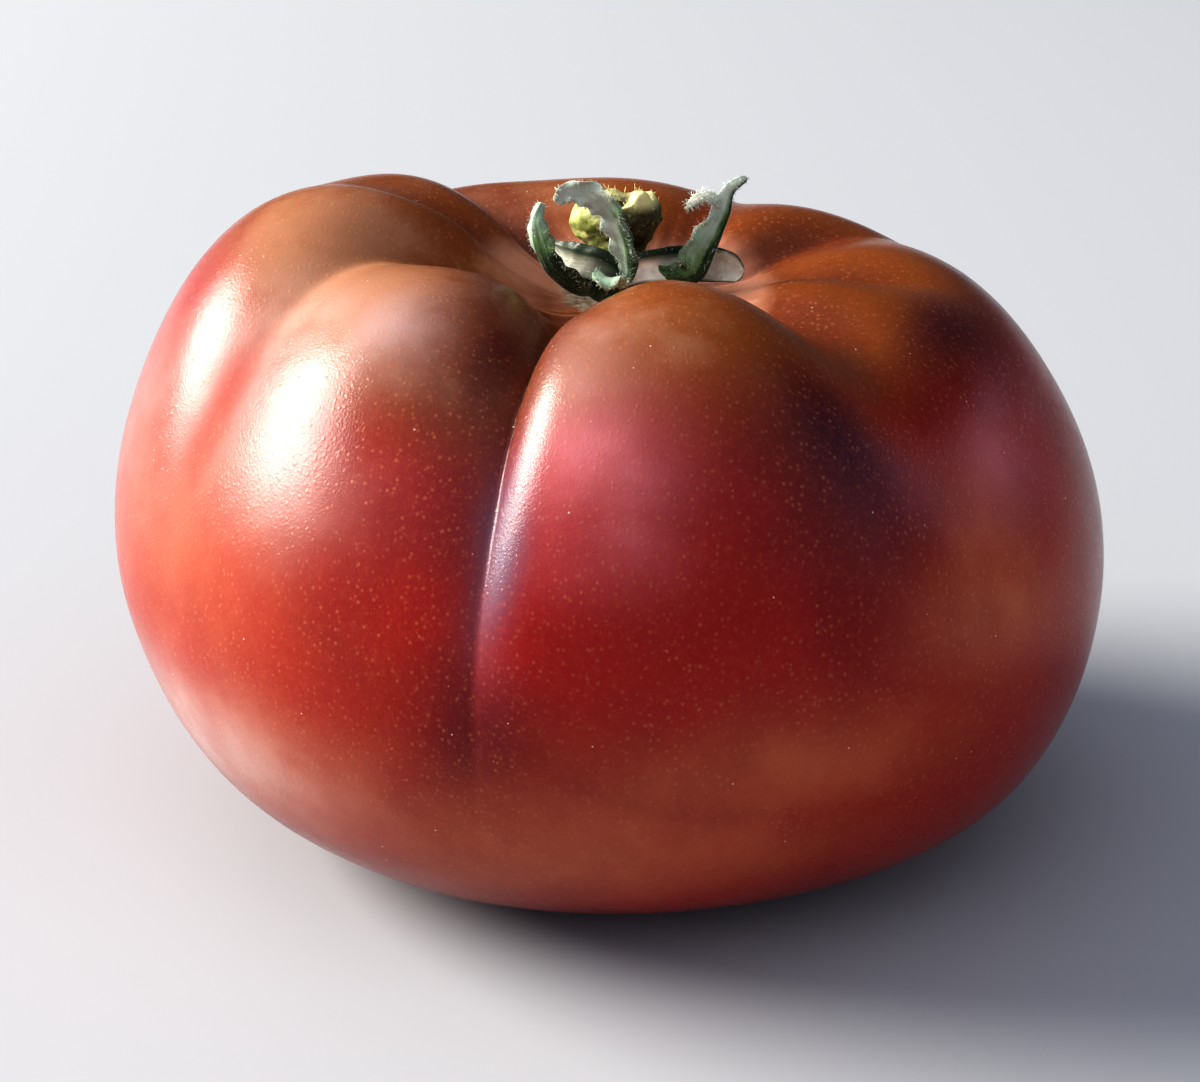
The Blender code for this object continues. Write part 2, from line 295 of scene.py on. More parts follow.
def furrowDepth(azimuth, share):
    depth = 0.0
    opened = easeBetween(*fruitForm["furrowStart"], share)
    turned = easeBetween(*fruitForm["furrowTurn"], share)
    for at, lean, deepest, left, right, reach, sharpness in fruitForm["furrows"]:
        turn = turnBetween(azimuth, at + lean * turned)
        width = right if turn > 0 else left
        across = math.exp(-((abs(turn) / width) ** sharpness))
        depth += deepest * across * opened * (1 - easeBetween(fruitForm["furrowFade"], reach, share))
    return depth


def skinPoint(azimuth, share, lobe, depth):
    form = fruitForm
    (radius, height), (out, up) = sectionPoint(share)
    lift, waist, underside = lobe
    push = waist * easeBetween(*form["waistFrom"], share) * (1 - easeBetween(*form["waistTo"], share))
    push += (underside * easeBetween(*form["undersideFrom"], share)
             * (1 - easeBetween(*form["undersideTo"], share)))
    push -= depth
    radius -= push * up
    height += push * out
    height += lift * easeBetween(*form["crestRise"], share) * easeBetween(*form["crestHeight"], height)
    basin = 1 - easeBetween(0.0, 0.5, share)
    turn = math.radians(azimuth)
    x = radius * math.sin(turn) + form["basinShift"][0] * basin + form["axis"][0]
    y = (-radius * math.cos(turn) * form["depthRatio"]
         + form["basinShift"][1] * basin + form["axis"][1])
    return Vector((x, y, max(height - form["flatTrim"], 0.0))) * mm


def crowded(azimuth):
    # meridians closer together round the deep front furrow
    howFar, wide = fruitForm["crowding"]
    off = turnBetween(azimuth, fruitForm["furrows"][0][0])
    return azimuth - howFar * off * math.exp(-((off / wide) ** 2))


def zoneStrength(spots, azimuth, share):
    # how strongly a tone shows at this place
    nearest = 0.0
    for at, level, wide, tall, strength in spots:
        apart = (turnBetween(azimuth, at) / wide) ** 2 + ((share - level) / tall) ** 2
        nearest = max(nearest, strength * math.exp(-apart))
    return nearest


def makeFruit(material, hubPlace):
    form = fruitForm
    bm = bmesh.new()
    bmesh.ops.create_uvsphere(bm, u_segments=form["meridians"], v_segments=form["rings"],
                              radius=1.0)
    marks = {name: [] for name in ("shoulder", "paintedFurrowShade", "cork", "along", "scar", "basin", "dull",
                                   *form["zones"])}
    furrowAt, furrowLean = form["furrows"][-1][:2]
    pleatHeight, pleatCount = form["pleats"]
    swellHeight, swellSize = form["swell"]
    corkHeight, corkReach = form["cork"]
    sunAt, sunWide = form["sunlit"]
    shadeAt, shadeWide, shadeShare = form["shaded"]
    shoulderStart, shoulderEnd = form["shoulder"]
    relief = []
    lobes = {}
    for vert in bm.verts:
        azimuth = crowded(math.degrees(math.atan2(vert.co.x, -vert.co.y)))
        share = math.acos(min(max(vert.co.z, -1.0), 1.0)) / math.pi
        key = round(azimuth, 4)
        if key not in lobes:
            lobes[key] = lobeValues(azimuth)
        depth = furrowDepth(azimuth, share)
        place = skinPoint(azimuth, share, lobes[key], depth)
        vert.co = place
        fromHub = (place - hubPlace).to_2d().length / mm
        edge = corkReach + 1.3 * bumpAt(place, 3.1, 4) + 0.5 * bumpAt(place, 1.0, 2)
        cork = (1 - easeBetween(edge - 0.5, edge + 0.6, fromHub)) * (share < 0.4)
        uneven = bumpAt(place, 24, 3) * 0.05
        spotAzimuth = azimuth + 5 * bumpAt(place, 11, 9)
        spotShare = share + 0.010 * bumpAt(place, 12, 8)
        sunlit = math.exp(-((turnBetween(azimuth, sunAt) / sunWide) ** 2))
        # painted shade: the pale basin tone is weaker on the side turned from the light
        basinSunlight = 1 - shadeShare * math.exp(-((turnBetween(azimuth, shadeAt) / shadeWide) ** 2))
        fromPole = place.to_2d().length / mm / form["scar"]
        crease = furrowAt + furrowLean * easeBetween(*form["furrowTurn"], share)
        fromCrease = turnBetween(azimuth, crease) / form["dullWidth"]
        marks["dull"].append(math.exp(-(fromCrease ** 2)) * easeBetween(*form["dullFrom"], share)
                             * (1 - easeBetween(*form["dullTo"], share)))
        marks["along"].append(share)
        marks["cork"].append(cork)
        marks["basin"].append(basinSunlight * (1 - easeBetween(*form["basinPaleAndLit"], share)))
        # painted shade in the furrows: deeper furrows darker, left out where the sun faces them
        marks["paintedFurrowShade"].append(min(depth / form["fullFurrowShadeDepth"], 1.0) * (1 - sunlit))
        marks["shoulder"].append(1 - easeBetween(shoulderStart + uneven, shoulderEnd + uneven, share))
        marks["scar"].append((1 - easeBetween(0.8, 1.25, fromPole)) * (share > 0.9))
        for zone, spots in form["zones"].items():
            marks[zone].append(zoneStrength(spots, spotAzimuth, spotShare))
        pleat = math.sin(math.radians(azimuth) * pleatCount + 5 * bumpAt(place, 9, 7))
        pleat *= easeBetween(*form["pleatFrom"], share) * (1 - easeBetween(*form["pleatTo"], share))
        rise = pleatHeight * pleat + swellHeight * bumpAt(place, swellSize, 1)
        rise += cork * corkHeight * (0.4 + bumpAt(place, 0.9, 5) + 0.5 * bumpAt(place, 0.4, 6))
        low, high = form["levelNearFloor"]
        relief.append(rise * mm * easeBetween(low * mm, high * mm, place.z))
    raiseBy(bm, relief)
    return finishPiece("tomatoFruit", bm, material, "skin", "fruit", marks=marks)


skinLook = {
    "crimson": (0.205, 0.0035, 0.0035),
    "red": (0.285, 0.0080, 0.0050),
    "vivid": (0.380, 0.0050, 0.0040),
    "orange": (0.450, 0.1080, 0.0450),
    "brown": (0.240, 0.0680, 0.0100),
    "tan": (0.360, 0.1700, 0.0900),
    # pale pink of the painted highlight haze
    "paintedHighlightHaze": (0.520, 0.3500, 0.3200),
    "mauve": (0.540, 0.1450, 0.1600),
    "plumAndPaintedShade": (0.065, 0.0055, 0.0130),
    "paintedSkyReflection": (0.160, 0.1000, 0.1450),
    "freckle": (0.56, 0.22, 0.095),
    "dust": (0.80, 0.66, 0.58),
    "cork": (0.52, 0.43, 0.33),
    "corkDark": (0.24, 0.19, 0.13),
    # pale basin tone, partly painted sunlight on the basin walls
    "basin": (0.540, 0.260, 0.165),
    "mottle": (0.62, 0.14, 0.07),
    "clouds": 22,              # size of the clouds of red
    "blotches": 7,             # size of the blotches that break up the tones, and how far they do
    "unevenness": 0.22,
    "furrowShadeStrength": 0.5,         # how dark the painted shade in the furrows is
    "mottleShare": 0.10,
    "freckleSpacing": 0.58,
    "coarseFreckles": 0.30,
    "fineFreckles": 0.17,
    "speckSpacing": 1.5,
    "specks": 0.8,
    "roughness": 0.20,
    "unevenGloss": (-0.03, 0.05),
    "dullness": 0.45,
    "corkRoughness": 0.85,
    "grain": 0.19,             # size, height and strength of the skin grain
    "grainHeight": 0.065,
    "grainStrength": 0.85,
    "gloss": 0.22,
    "coat": 0.15,
    "coatRoughness": 0.38,
    "glow": 0.10,              # light that goes through the skin, how far by colour, and its scale
    "glowReach": (1.0, 0.2, 0.08),
    "glowScale": 2.0,
}


def skinMaterial():
    look = skinLook
    material, tree, shader = newMaterial("waxyDarkSkin")
    coords = objectCoords(tree)
    shoulder = readMark(tree, "shoulder")
    paintedFurrowShade = readMark(tree, "paintedFurrowShade")
    cork = readMark(tree, "cork")
    along = readMark(tree, "along")
    scar = readMark(tree, "scar")
    # clouds of red, the warm flanks, the brown and tan shoulders, then mauve, a painted highlight
    # haze, dark plum with painted shade in the furrows and a painted reflection of the sky
    clouds = grain(tree, coords, look["clouds"], 3)
    blotches = grain(tree, coords, look["blotches"], 4, 0.6)
    uneven = spread(tree, blotches, 0.3, 0.7, -look["unevenness"], look["unevenness"])
    base = mixColour(tree, spread(tree, clouds, 0.38, 0.62), look["crimson"], look["red"])
    for tone in ("vivid", "orange"):
        patchy = calc(tree, "MULTIPLY", readMark(tree, tone), calc(tree, "ADD", uneven, 0.9))
        base = mixColour(tree, patchy, base, look[tone])
    paleBrown = calc(tree, "ADD", readMark(tree, "tan"), uneven)
    ground = mixColour(tree, spread(tree, paleBrown, 0.2, 0.9), look["brown"], look["tan"])
    base = mixColour(tree, shoulder, base, ground)
    for tone in ("mauve", "paintedHighlightHaze"):
        patchy = calc(tree, "MULTIPLY", readMark(tree, tone), calc(tree, "ADD", uneven, 1.0))
        base = mixColour(tree, patchy, base, look[tone])
    # dark plum, and painted shade that darkens the furrows
    plumAndShadeShare = calc(tree, "MAXIMUM", readMark(tree, "plumAndPaintedShade"),
                     calc(tree, "MULTIPLY", spread(tree, paintedFurrowShade, 0.10, 0.95), look["furrowShadeStrength"]))
    base = mixColour(tree, plumAndShadeShare, base, look["plumAndPaintedShade"])
    # a painted reflection of the sky in the front furrow
    base = mixColour(tree, readMark(tree, "paintedSkyReflection"), base, look["paintedSkyReflection"])
    # the skin pales and pinkens on its way down into the basin, a pale tone that is partly painted
    # sunlight on the basin walls
    inward = calc(tree, "ADD", readMark(tree, "basin"), calc(tree, "MULTIPLY", uneven, 0.7))
    base = mixColour(tree, spread(tree, inward, 0.2, 0.9), base, look["basin"])

    # pale freckles under the skin, coarse and fine, and a few specks of dust on it
    def speckle(spacing, inner, outer, low, high):
        cells = addNode(tree, "TexVoronoi", {"feature": "F1"}, Vector=coords,
                        Scale=1 / (spacing * mm), Randomness=1.0)
        pick = addNode(tree, "SeparateColor", Color=cells.outputs["Color"]).outputs[0]
        return calc(tree, "MULTIPLY", spread(tree, cells.outputs["Distance"], outer, inner),
                    spread(tree, pick, low, high))

    mottle = spread(tree, grain(tree, coords, 0.55, 4, 0.7), 0.46, 0.72, 0.0, look["mottleShare"])
    base = mixColour(tree, mottle, base, look["mottle"])
    coarse = speckle(look["freckleSpacing"], 0.08, 0.38, -0.3, 0.8)
    fine = speckle(0.55 * look["freckleSpacing"], 0.06, 0.34, 0.2, 1.0)
    specks = speckle(look["speckSpacing"], 0.030, 0.060, 0.72, 0.76)
    patches = spread(tree, grain(tree, coords, 8, 3), 0.32, 0.68, 0.45, 1.1)
    fade = spread(tree, along, 0.80, 0.62, 0.3, 1.0)
    dots = calc(tree, "ADD", calc(tree, "MULTIPLY", coarse, look["coarseFreckles"]),
                calc(tree, "MULTIPLY", fine, look["fineFreckles"]))
    dots = calc(tree, "MULTIPLY", calc(tree, "MULTIPLY", dots, patches), fade)
    base = mixColour(tree, dots, base, look["freckle"])
    base = mixColour(tree, calc(tree, "MULTIPLY", specks, look["specks"]), base, look["dust"])
    # the corky crust round the calyx and the blossom scar
    crust = mixColour(tree, spread(tree, grain(tree, coords, 0.7, 5, 0.7), 0.38, 0.6),
                      look["corkDark"], look["cork"])
    base = mixColour(tree, cork, base, crust)
    base = mixColour(tree, scar, base, look["corkDark"])
    tree.links.new(base, shader.inputs["Base Color"])
    # waxy gloss, duller on the cork, with a skin grain that breaks up the highlights
    rough = calc(tree, "ADD", look["roughness"],
                 spread(tree, grain(tree, coords, 4, 4), 0.3, 0.7, *look["unevenGloss"]))
    dull = readMark(tree, "dull")
    rough = calc(tree, "ADD", rough, calc(tree, "MULTIPLY", dull, look["dullness"]))
    rough = addNode(tree, "Mix", {"data_type": "FLOAT"}, Factor=cork, A=rough,
                    B=look["corkRoughness"])
    tree.links.new(rough.outputs["Result"], shader.inputs["Roughness"])
    tree.links.new(spread(tree, dull, 0.0, 1.0, look["coat"], 0.0), shader.inputs["Coat Weight"])
    cells = grain(tree, coords, look["grain"], 2, 0.65)
    heights = calc(tree, "ADD", calc(tree, "MULTIPLY", cells, 0.5),
                   calc(tree, "MULTIPLY", coarse, 0.25))
    bump = addNode(tree, "Bump", Height=heights, Strength=look["grainStrength"],
                   Distance=look["grainHeight"] * mm)
    tree.links.new(bump.outputs["Normal"], shader.inputs["Normal"])
    shader.inputs["Specular IOR Level"].default_value = look["gloss"]
    shader.inputs["Coat Roughness"].default_value = look["coatRoughness"]
    shader.inputs["Subsurface Weight"].default_value = look["glow"]
    shader.inputs["Subsurface Radius"].default_value = look["glowReach"]
    shader.inputs["Subsurface Scale"].default_value = look["glowScale"] * mm
    return material


# the calyx

calyxForm = {
    "hub": (0.4, 1.3),
    "hubBottom": 46.9,
    "hubTop": 50.2,
    "hubRadius": 2.8,
    "hubColumns": 96,
    "hubRings": 48,
    "hubLobes": (0.08, 7),     # how far the hub's lobes stand out, and their number
    "hubBulge": 1.35,          # how far its ball reaches past its flat top and bottom
    "thickness": 0.60,
    "columns": 28,
    "ringsPerLength": 6,
    "veins": 3.5,
    "veinHeight": 0.05,
    "midrib": (0.16, 0.14),    # height and half width of the rib under the middle
    "crumple": (0.16, 1.5),    # height and size of the crumples
    "hairLength": (0.20, 0.62),
    "hairRadius": (0.020, 0.038),
    "hairLean": 0.5,
    "tuft": 60,                # hairs grown together before they are joined on
    # each sepal: middle line, way its upper face looks, width and the share of it at the root,
    # bluntness of its end, trough, wave and frill over half width. Then its looks: how pale it is
    # at the root and the tip, what its two halves add as painted light on the sunlit half and
    # painted shade on the other, where they meet and where that ends, how creamy its upper face
    # is in a cream brightened by painted sunlight, how strongly its edges darken, and the number
    # of hairs. A rolled rim has a side, the place across where it starts and the share along where
    # it thins
    "sepals": {
        "Left": {
            "line": [(0.2, 0.8, 48.6), (-2.6, -0.8, 48.2), (-5.1, -1.4, 50.1),
                     (-6.3, -1.7, 52.5), (-6.5, -1.6, 54.6), (-5.9, -1.2, 56.0)],
            "face": (0.5, 0.55, 0.65), "width": 3.4, "root": 0.55, "blunt": 0.25,
            "trough": 0.40, "wave": 0.10, "frill": 0.10, "pale": (-0.15, 0.95),
            "litAndShadedHalves": (-0.20, 0.30), "meet": 0.1, "until": 1.2, "sunlitCream": 0.25, "edge": 0.5,
            "hairs": 800,
        },
        "Standing": {
            "line": [(0.5, 0.6, 48.9), (1.35, -2.2, 50.3), (1.1, -3.0, 52.6), (0.4, -3.2, 54.7),
                     (-0.6, -3.2, 56.4), (-2.2, -3.1, 57.4), (-3.7, -3.0, 57.4),
                     (-4.6, -2.9, 56.4)],
            "face": (-0.75, -0.6, -0.25), "endFace": (-0.2, -0.9, -0.1), "width": 2.7,
            "root": 0.30, "blunt": 0.45, "trough": 0.30, "wave": 0.14, "frill": 0.26,
            "pale": (0.95, 1.25), "litAndShadedHalves": (0.15, -1.15), "meet": 0.15, "until": 0.52,
            "sunlitCream": 0.0, "edge": 0.0, "hairs": 2000,
        },
        "Right": {
            "line": [(0.8, 0.9, 48.9), (4.0, -0.2, 48.5), (7.0, -0.6, 49.2), (8.3, -0.6, 51.6),
                     (9.3, -0.5, 54.0), (10.0, -0.4, 56.8), (11.2, -0.5, 57.9)],
            "face": (-0.6, 0.7, 0.3), "width": 3.6, "root": 0.55, "blunt": 0.18,
            "trough": 0.75, "wave": 0.08, "frill": 0.12, "pale": (0.10, 1.10),
            "litAndShadedHalves": (-1.20, 0.15), "meet": 0.22, "until": 1.2, "sunlitCream": 0.0, "edge": 0.0,
            "hairs": 1800,
        },
        "RightLobe": {
            "line": [(9.2, -0.5, 55.4), (8.2, -0.6, 56.3), (7.1, -0.65, 56.2),
                     (6.2, -0.7, 55.4)],
            "face": (0.0, -0.8, 0.6), "width": 0.9, "root": 0.9, "blunt": 0.6,
            "trough": 0.10, "wave": 0.0, "frill": 0.15, "pale": (1.0, 1.3),
            "litAndShadedHalves": (0.0, 0.0), "meet": 0.0, "until": 1.2, "sunlitCream": 0.3, "edge": 0.0,
            "hairs": 260,
        },
        "BackLeft": {
            "line": [(0.9, -0.4, 49.2), (-1.1, -1.4, 50.6), (-3.3, 0.3, 50.6),
                     (-4.8, 2.5, 50.8), (-6.3, 4.6, 51.8)],
            "face": (-0.5, -0.75, 0.45), "width": 3.0, "root": 0.70, "blunt": 0.20,
            "trough": 0.25, "wave": 0.08, "frill": 0.06, "pale": (-0.2, 0.1),
            "litAndShadedHalves": (0.0, 0.0), "meet": 0.0, "until": 1.2, "sunlitCream": 0.30, "edge": 1.0,
            "rim": (1, 0.25, 1.1), "hairs": 200,
        },
        "BackRight": {
            "line": [(0.2, -0.4, 48.9), (1.9, -1.2, 50.1), (4.2, 0.5, 49.9), (6.0, 1.8, 49.7),
                     (8.2, 1.9, 49.6), (9.8, 1.1, 49.4), (11.0, 0.0, 49.1)],
            "face": (0.05, -0.9, 0.45), "width": 3.1, "root": 0.60, "blunt": 0.85,
            "trough": 0.50, "wave": 0.05, "frill": 0.04, "pale": (-0.2, -0.1),
            "litAndShadedHalves": (0.0, 0.0), "meet": 0.0, "until": 1.2, "sunlitCream": 1.0, "edge": 1.0,
            "rim": (-1, 0.42, 0.70), "hairs": 200,
        },
        "Front": {
            "line": [(0.4, 0.4, 48.7), (0.0, -2.2, 49.2), (-0.4, -4.3, 50.1),
                     (-0.6, -5.8, 50.0)],
            "face": (0.1, -0.2, 1.0), "width": 3.0, "root": 0.55, "blunt": 0.45,
            "trough": 0.35, "wave": 0.22, "frill": 0.14, "pale": (0.35, 0.75),
            "litAndShadedHalves": (0.0, 0.0), "meet": 0.0, "until": 1.2, "sunlitCream": 0.0, "edge": 0.0,
            "hairs": 500,
        },
        "Back": {
            "line": [(0.6, 1.8, 48.6), (1.2, 5.2, 49.6), (1.9, 7.6, 50.9), (2.2, 9.4, 52.1),
                     (2.0, 10.6, 53.1)],
            "face": (0.0, -0.5, 1.0), "width": 2.9, "root": 0.55, "blunt": 0.18,
            "trough": 0.30, "wave": 0.10, "frill": 0.10, "pale": (0.0, 0.7),
            "litAndShadedHalves": (0.0, 0.0), "meet": 0.0, "until": 1.2, "sunlitCream": 0.2, "edge": 0.4,
            "hairs": 400,
        },
    },
}


def curveThrough(points, share):
    spans = len(points) - 1
    span = min(int(share * spans), spans - 1)
    t = share * spans - span
    a, b = points[max(span - 1, 0)], points[span]
    c, d = points[span + 1], points[min(span + 2, spans)]
    place = 0.5 * (2 * b + (c - a) * t + (2 * a - 5 * b + 4 * c - d) * t**2
                   + (3 * b - a - 3 * c + d) * t**3)
    way = 0.5 * ((c - a) + 2 * (2 * a - 5 * b + 4 * c - d) * t
                 + 3 * (3 * b - a - 3 * c + d) * t**2)
    return place, way.normalized()


def sepalHalfWidth(width, atRoot, blunt, share):
    root = atRoot + (1 - atRoot) * math.sin(min(share / 0.45, 1.0) * math.pi / 2)
    end = 1 - (1 - blunt) * easeBetween(0.40 + 0.4 * blunt, 1.0, share)
    rounded = 1 - 0.5 * blunt * easeBetween(0.85, 1.0, share)
    return 0.5 * width * root * end * rounded


def addHair(bm, foot, way, length, radius):
    spin = way.to_track_quat("Z", "Y").to_matrix().to_4x4()
    middle = foot + way * (length * 0.45)
    bmesh.ops.create_cone(bm, cap_ends=True, segments=3, radius1=radius, radius2=radius * 0.4,
                          depth=length, matrix=Matrix.Translation(middle) @ spin)


def growHairs(spots, count, length, radius, hairs):
    # seeded hairs on these (place, normal) spots, grown in small tufts that are then joined on
    for start in range(0, count, calyxForm["tuft"]):
        tuft = bmesh.new()
        for _ in range(min(calyxForm["tuft"], count - start)):
            foot, normal = random.choice(spots)
            lean = Vector([random.gauss(0, calyxForm["hairLean"]) for _ in range(3)])
            addHair(tuft, foot, (normal + lean).normalized(), random.uniform(*length) * mm,
                    random.uniform(*radius) * mm)
        grown = bpy.data.meshes.new("grown")
        tuft.to_mesh(grown)
        tuft.free()
        hairs.from_mesh(grown)
        bpy.data.meshes.remove(grown)


def makeSepal(name, form, material, hairs):
    # a flattened ball drawn out along the sepal's middle line
    line = [Vector(point) for point in form["line"]]
    face = Vector(form["face"]).normalized()
    endFace = Vector(form.get("endFace", form["face"])).normalized()
    rimSide, rimStart, rimThins = form.get("rim", (0, 1.0, 0.0))
    length = sum((b - a).length for a, b in zip(line, line[1:]))
    bm = newBall(calyxForm["columns"], int(length * calyxForm["ringsPerLength"]))
    ribHeight, ribWidth = calyxForm["midrib"]
    crumpleHeight, crumpleSize = calyxForm["crumple"]
    marks = {mark: [] for mark in ("along", "across", "pale", "sunlitCream", "rim")}
    seed = len(name) + 3.7 * form["width"]
    for vert in bm.verts:
        around = math.atan2(vert.co.y, vert.co.x)
        share = math.acos(min(max(vert.co.z, -1.0), 1.0)) / math.pi
        closing = math.sqrt(1 - (1 - min(share / 0.05, (1 - share) / 0.04, 1.0)) ** 2)
        across = math.cos(around) * closing
        level = math.sin(around) * closing
        place, way = curveThrough(line, share)
        side = way.cross(face.lerp(endFace, share)).normalized()
        normal = side.cross(way).normalized()
        half = sepalHalfWidth(form["width"], form["root"], form["blunt"], share)
        wave = form["wave"] * math.sin(share * 13 + 2.1 * across) * abs(across)
        frill = form["frill"] * math.sin(share * 41 + 3 * across + seed) * abs(across) ** 3
        rise = form["trough"] * abs(across) ** 1.5 + wave + frill
        rimFrom = rimStart + (0.86 - rimStart) * easeBetween(rimThins - 0.1, rimThins + 0.1, share)
        rim = easeBetween(rimFrom - 0.10, rimFrom + 0.10, across * rimSide)
        thick = 0.5 * calyxForm["thickness"] * (1 - 0.35 * share) * (1 + 0.8 * rim)
        vein = math.cos(across * math.pi * calyxForm["veins"]) * calyxForm["veinHeight"]
        rib = 0.0
        if level < 0:
            rib = ribHeight * math.exp(-((across / ribWidth) ** 2)) * (1 - 0.6 * share)
        spot = place + side * across * half
        crumple = crumpleHeight * bumpAt(spot * mm, crumpleSize, seed) * easeBetween(0.1, 0.5, share)
        spot += normal * (rise * half + level * (thick + vein * abs(level) + rib) + crumple)
        vert.co = spot * mm
        paleRoot, paleTip = form["pale"]
        # painted light and shade: one half of the sepal is made paler where the sun falls on it, the
        # other darker
        lower, upper = form["litAndShadedHalves"]
        litAndShadedHalves = lower + (upper - lower) * easeBetween(form["meet"] - 0.2, form["meet"] + 0.2, across)
        litAndShadedHalves *= 1 - easeBetween(form["until"] - 0.12, form["until"] + 0.12, share)
        marks["along"].append(share)
        marks["across"].append(across)
        marks["pale"].append(paleRoot + (paleTip - paleRoot) * easeBetween(0.25, 0.85, share)
                             + litAndShadedHalves)
        marks["sunlitCream"].append(form["sunlitCream"] * easeBetween(-0.1, 0.3, level))
        marks["rim"].append(max(rim, form["edge"] * easeBetween(0.84, 0.95, abs(across))))
    bmesh.ops.recalc_face_normals(bm, faces=bm.faces)
    spots = [(face.calc_center_median(), face.normal.copy()) for face in bm.faces]
    # the root, the first sixth of the faces, stays without hairs
    growHairs(spots[len(spots) // 6:], form["hairs"], calyxForm["hairLength"],
              calyxForm["hairRadius"], hairs)
    return finishPiece("sepal" + name, bm, material, "sepal", "calyx", marks=marks)


def makeHub(material):
    form = calyxForm
    bm = bmesh.new()
    bmesh.ops.create_uvsphere(bm, u_segments=form["hubColumns"], v_segments=form["hubRings"],
                              radius=1.0)
    middle = (form["hubTop"] + form["hubBottom"]) / 2
    halfHeight = (form["hubTop"] - form["hubBottom"]) / 2
    standOut, lobeCount = form["hubLobes"]
    for vert in bm.verts:
        around = math.atan2(vert.co.y, vert.co.x)
        radius = form["hubRadius"] * (1 + standOut * math.cos(lobeCount * around))
        height = min(middle + form["hubBulge"] * halfHeight * vert.co.z, form["hubTop"])
        x = form["hub"][0] + radius * vert.co.x
        y = form["hub"][1] + radius * vert.co.y
        place = Vector((x, y, max(height, form["hubBottom"]))) * mm
        place += Vector((vert.co.x, vert.co.y, 0)) * bumpAt(place, 0.8, 3) * 0.12 * mm
        vert.co = place
    level = [0.0] * len(bm.verts)
    return finishPiece("calyxHub", bm, material, "sepal", "calyx",
                       marks={"along": level, "across": level, "pale": level, "sunlitCream": level,
                              "rim": level})


sepalLook = {
    "deep": (0.008, 0.026, 0.013),
    "green": (0.028, 0.095, 0.034),
    "lime": (0.130, 0.240, 0.085),
    "mint": (0.310, 0.430, 0.320),
    "frost": (0.520, 0.600, 0.520),
    # pale cream of the sepals' upper faces, made brighter than its own tone as painted sunlight
    "sunlitCream": (0.950, 0.870, 0.720),
    "sunlitCreamDark": (0.750, 0.640, 0.500),
    "rim": (0.020, 0.040, 0.016),
    "hair": (0.84, 0.86, 0.78),
    "streaks": (9.0, 5.0),     # fibres and veins across and along a sepal
    "roughness": (0.36, 0.75),  # of its green and its downy parts
    "veinHeight": 0.08,        # height and strength of the veins in the material
    "veinStrength": 0.5,
    "gloss": 0.35,
    "sheen": 0.20,
    "sheenRoughness": 0.5,
    "glow": 0.08,
    "glowScale": 0.5,
    "hairRoughness": 0.5,
}


def sepalMaterial():
    look = sepalLook
    material, tree, shader = newMaterial("downySepal")
    coords = objectCoords(tree)
    along = readMark(tree, "along")
    signed = readMark(tree, "across")
    pale = readMark(tree, "pale")
    sunlitCream = readMark(tree, "sunlitCream")
    mottle = grain(tree, coords, 1.1, 4, 0.6)
    fine = grain(tree, coords, 0.25, 3, 0.6)
    # fibres and veins run along the sepal
    acrossCount, alongCount = look["streaks"]
    lengthwise = addNode(tree, "CombineXYZ", X=calc(tree, "MULTIPLY", signed, acrossCount),
                         Y=calc(tree, "MULTIPLY", along, alongCount))
    streaks = addNode(tree, "TexNoise", Vector=lengthwise.outputs[0], Scale=1.0, Detail=4.0,
                      Roughness=0.6).outputs["Fac"]
    base = mixColour(tree, spread(tree, streaks, 0.35, 0.68), look["deep"], look["green"])
    base = mixColour(tree, calc(tree, "MULTIPLY", spread(tree, streaks, 0.56, 0.74), 0.5),
                     base, look["lime"])
    ripple = calc(tree, "ADD", spread(tree, streaks, 0.3, 0.7, -0.12, 0.12),
                  spread(tree, mottle, 0.3, 0.7, -0.12, 0.12))
    # the pale mark carries the sepal's downy paleness and the painted light and shade of its two
    # halves
    downy = calc(tree, "ADD", pale, ripple)
    base = mixColour(tree, spread(tree, downy, 0.0, 0.45), base, look["lime"])
    base = mixColour(tree, spread(tree, downy, 0.30, 0.80), base, look["mint"])
    base = mixColour(tree, spread(tree, downy, 0.75, 1.25), base, look["frost"])
    # the cream face, brightened with painted sunlight
    sunlitCreamTone = mixColour(tree, spread(tree, mottle, 0.35, 0.65), look["sunlitCreamDark"], look["sunlitCream"])
    base = mixColour(tree, sunlitCream, base, sunlitCreamTone)
    base = mixColour(tree, readMark(tree, "rim"), base, look["rim"])
    tree.links.new(base, shader.inputs["Base Color"])
    tree.links.new(spread(tree, downy, 0.1, 0.8, *look["roughness"]), shader.inputs["Roughness"])
    heights = calc(tree, "ADD", calc(tree, "MULTIPLY", fine, 0.5), streaks)
    bump = addNode(tree, "Bump", Height=heights, Strength=look["veinStrength"],
                   Distance=look["veinHeight"] * mm)
    tree.links.new(bump.outputs["Normal"], shader.inputs["Normal"])
    shader.inputs["Specular IOR Level"].default_value = look["gloss"]
    shader.inputs["Sheen Weight"].default_value = look["sheen"]
    shader.inputs["Sheen Roughness"].default_value = look["sheenRoughness"]
    shader.inputs["Subsurface Weight"].default_value = look["glow"]
    shader.inputs["Subsurface Scale"].default_value = look["glowScale"] * mm
    return material


def hairMaterial():
    material, tree, shader = newMaterial("paleHair")
    tone = grain(tree, objectCoords(tree), 2.0, 2)
    base = mixColour(tree, spread(tree, tone, 0.3, 0.7), sepalLook["mint"], sepalLook["hair"])
    tree.links.new(base, shader.inputs["Base Color"])
    shader.inputs["Roughness"].default_value = sepalLook["hairRoughness"]
    return material


# the stub of the stalk

